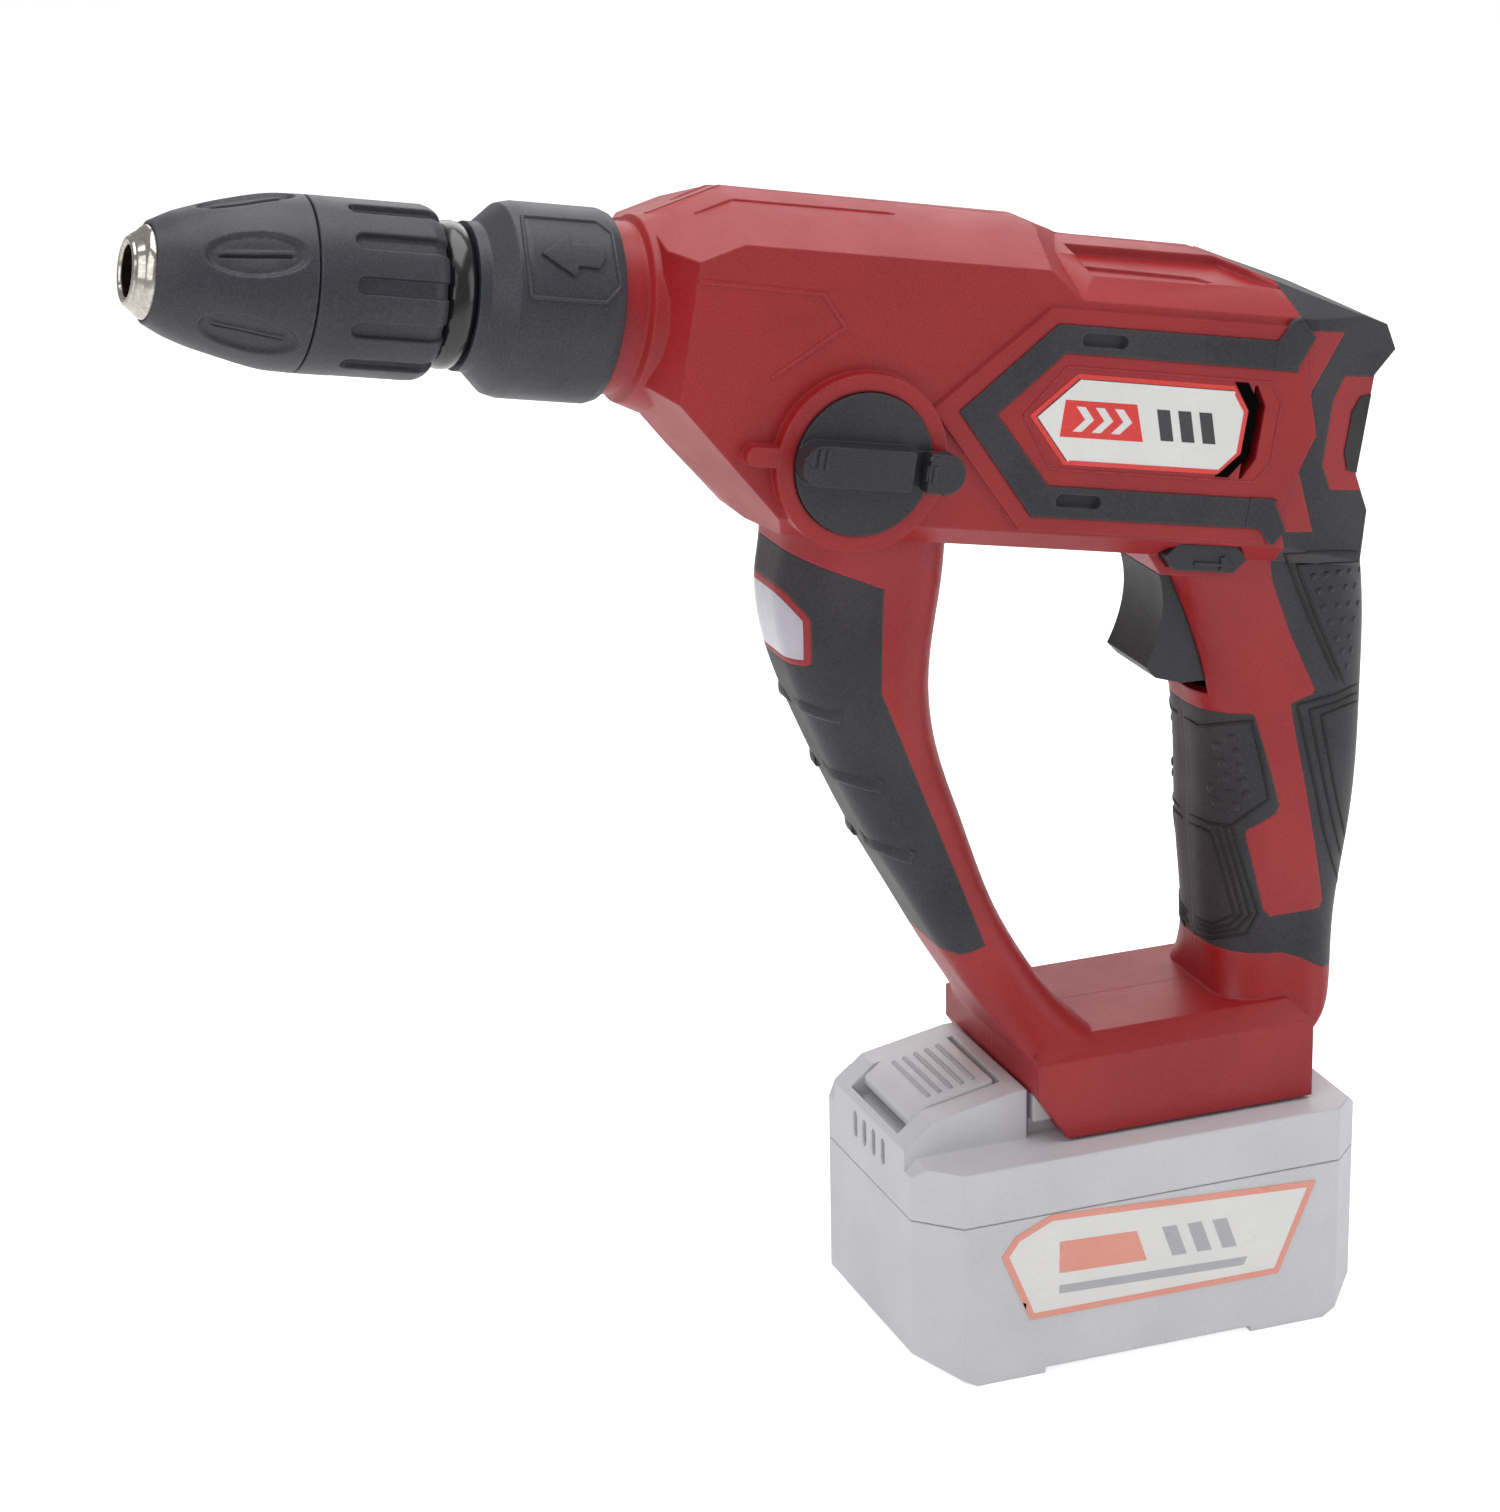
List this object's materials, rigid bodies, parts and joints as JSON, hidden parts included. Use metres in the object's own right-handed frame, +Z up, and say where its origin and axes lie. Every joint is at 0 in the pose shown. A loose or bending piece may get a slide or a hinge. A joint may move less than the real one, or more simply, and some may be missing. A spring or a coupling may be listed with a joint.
{
  "type": "rotary hammer",
  "caption": "Cordless pistol-style rotary hammer: keyless chuck on a tilted barrel, D-shaped twin grip, trigger, mode knob and slide-on battery pack.",
  "frame": {"origin": "centre of the battery pack's flat underside, where the tool stands", "axes": "+Z up, chuck points towards -X and 10 degrees up, mode knob side is -Y"},
  "size_m": [0.3049, 0.0758, 0.3069],
  "materials": {
    "red_plastic": "fine moulded texture",
    "black_rubber": "soft matt overmould",
    "label_print": "gloss film with a red border",
    "black_plastic": "satin",
    "clear_lens": "clear, lightly frosted",
    "board_green": "solder resist",
    "grey_plastic": "satin",
    "cell_wrap": "shrink wrap over a can of about aluminium's density",
    "cast_aluminium": "die cast",
    "bright_steel": "ground",
    "nickel_steel": "bright nickel",
    "magnet": "sintered",
    "wire_insulation": "smooth"
  },
  "bodies": {
    "housing": {"left_housing": "red_plastic", "right_housing": "red_plastic", "left_grip_rubber": "black_rubber", "right_grip_rubber": "black_rubber", "left_pillar_rubber": "black_rubber", "right_pillar_rubber": "black_rubber", "left_motor_band": "black_rubber", "right_motor_band": "black_rubber", "left_label": "label_print", "right_label": "label_print", "housing_screws": "bright_steel", "led_lens": "clear_lens", "led_board": "board_green", "switch_module": "black_plastic", "trigger_spring": "bright_steel", "wiring": "wire_insulation", "terminal_block": "black_plastic", "front_bearing_plate": "cast_aluminium", "rear_bearing_plate": "cast_aluminium", "intermediate_bearings": "bright_steel", "motor_can": "bright_steel", "motor_magnets": "magnet", "motor_end_cap": "black_plastic", "motor_bearings": "bright_steel", "spindle_seal": "black_rubber", "spindle_bearing": "bright_steel"},
    "rotor": {"motor_rotor": "bright_steel", "motor_fan": "black_plastic", "motor_pinion": "bright_steel"},
    "intermediate": {"intermediate_shaft": "bright_steel", "intermediate_gear": "bright_steel"},
    "clutch": {"clutch_sleeve": "bright_steel"},
    "spindle": {"spindle": "bright_steel", "spindle_gear": "bright_steel", "locking_balls": "bright_steel", "lock_spring": "bright_steel", "dust_cap": "black_rubber"},
    "lock_collar": {"lock_sleeve": "black_plastic"},
    "chuck": {"shank_adaptor": "bright_steel", "chuck_body": "nickel_steel", "chuck_rear_sleeve": "black_plastic"},
    "chuck_sleeve": {"chuck_front_sleeve": "black_plastic", "chuck_nut": "bright_steel"},
    "jaw_1": {"jaw_1": "bright_steel"},
    "jaw_2": {"jaw_2": "bright_steel"},
    "jaw_3": {"jaw_3": "bright_steel"},
    "wobble": {"wobble_ring": "bright_steel"},
    "piston": {"piston": "bright_steel"},
    "striker": {"striker": "bright_steel"},
    "impact_pin": {"impact_pin": "bright_steel"},
    "selector": {"mode_knob": "black_plastic"},
    "selector_lock": {"mode_lock_button": "black_plastic"},
    "trigger": {"trigger": "black_plastic"},
    "direction": {"direction_slider": "black_plastic"},
    "battery": {"battery_lower_case": "grey_plastic", "battery_upper_case": "grey_plastic", "battery_cells": "cell_wrap", "battery_board": "board_green", "battery_labels": "label_print"},
    "latch": {"battery_latch": "grey_plastic"}
  },
  "joints": [
    {"name": "motor_spin", "type": "hinge", "parent": "housing", "child": "rotor", "pos_m": [-0.12708, 0, 0.26218], "axis": [0.9848, 0, -0.1736], "continuous": true},
    {"name": "intermediate_spin", "type": "hinge", "parent": "housing", "child": "intermediate", "pos_m": [-0.12951, 0, 0.2484], "axis": [0.9848, 0, -0.1736], "continuous": true},
    {"name": "spindle_spin", "type": "hinge", "parent": "housing", "child": "spindle", "pos_m": [-0.125, 0, 0.274], "axis": [0.9848, 0, -0.1736], "continuous": true},
    {"name": "selector_turn", "type": "hinge", "parent": "housing", "child": "selector", "pos_m": [-0.07329, 0, 0.23899], "axis": [0, -1, 0], "range_deg": [-90, 90]},
    {"name": "clutch_shift", "type": "slide", "parent": "intermediate", "child": "clutch", "axis": [0.9848, 0, -0.1736], "range_m": [-0.004, 0.004]},
    {"name": "selector_lock_press", "type": "slide", "parent": "selector", "child": "selector_lock", "axis": [-0.9848, 0, 0.1736], "range_m": [0, 0.0025], "stiffness_N_per_m": 400, "springref_m": -0.002},
    {"name": "chuck_float", "type": "slide", "parent": "spindle", "child": "chuck", "axis": [-0.9848, 0, 0.1736], "range_m": [0, 0.008]},
    {"name": "chuck_sleeve_turn", "type": "hinge", "parent": "chuck", "child": "chuck_sleeve", "pos_m": [-0.125, 0, 0.274], "axis": [0.9848, 0, -0.1736], "range_deg": [0, 4600]},
    {"name": "jaw_1_slide", "type": "slide", "parent": "chuck", "child": "jaw_1", "axis": [-0.9962, 0, -0.0872], "range_m": [0, 0.0192]},
    {"name": "jaw_2_slide", "type": "slide", "parent": "chuck", "child": "jaw_2", "axis": [-0.9288, 0.2241, 0.2952], "range_m": [0, 0.0192]},
    {"name": "jaw_3_slide", "type": "slide", "parent": "chuck", "child": "jaw_3", "axis": [-0.9288, -0.2241, 0.2952], "range_m": [0, 0.0192]},
    {"name": "lock_sleeve_pull", "type": "slide", "parent": "spindle", "child": "lock_collar", "axis": [0.9848, 0, -0.1736], "range_m": [0, 0.005], "stiffness_N_per_m": 1500, "springref_m": -0.006, "deforming": ["lock_spring"]},
    {"name": "piston_stroke", "type": "slide", "parent": "housing", "child": "piston", "axis": [0.9848, 0, -0.1736], "range_m": [-0.005, 0.005]},
    {"name": "wobble_tilt", "type": "hinge", "parent": "housing", "child": "wobble", "pos_m": [-0.05171, 0, 0.23468], "axis": [0, 1, 0], "range_deg": [-11.2, 11.2]},
    {"name": "striker_slide", "type": "slide", "parent": "housing", "child": "striker", "axis": [0.9848, 0, -0.1736], "range_m": [-0.006, 0.0015]},
    {"name": "impact_pin_slide", "type": "slide", "parent": "housing", "child": "impact_pin", "axis": [0.9848, 0, -0.1736], "range_m": [0, 0.003]},
    {"name": "trigger_pull", "type": "slide", "parent": "housing", "child": "trigger", "axis": [1, 0, 0], "range_m": [0, 0.0065], "stiffness_N_per_m": 800, "springref_m": -0.004, "deforming": ["trigger_spring"]},
    {"name": "direction_shift", "type": "slide", "parent": "housing", "child": "direction", "axis": [0, 1, 0], "range_m": [-0.0035, 0.0035]},
    {"name": "battery_slide", "type": "slide", "parent": "housing", "child": "battery", "axis": [-1, 0, 0], "range_m": [0, 0.078]},
    {"name": "latch_press", "type": "slide", "parent": "battery", "child": "latch", "axis": [0, 0, -1], "range_m": [0, 0.0028], "stiffness_N_per_m": 900, "springref_m": -0.003}
  ],
  "couplings": [
    {"joint": "intermediate_spin", "follows": "motor_spin", "ratio": -0.4},
    {"joint": "spindle_spin", "follows": "motor_spin", "ratio": 0.12},
    {"joint": "clutch_shift", "follows": "selector_turn", "m_per_rad": -0.0025439},
    {"joint": "wobble_tilt", "follows": "piston_stroke", "rad_per_m": 38.462},
    {"joint": "jaw_1_slide", "follows": "chuck_sleeve_turn", "m_per_rad": 0.0002379},
    {"joint": "jaw_2_slide", "follows": "chuck_sleeve_turn", "m_per_rad": 0.0002379},
    {"joint": "jaw_3_slide", "follows": "chuck_sleeve_turn", "m_per_rad": 0.0002379}
  ]
}
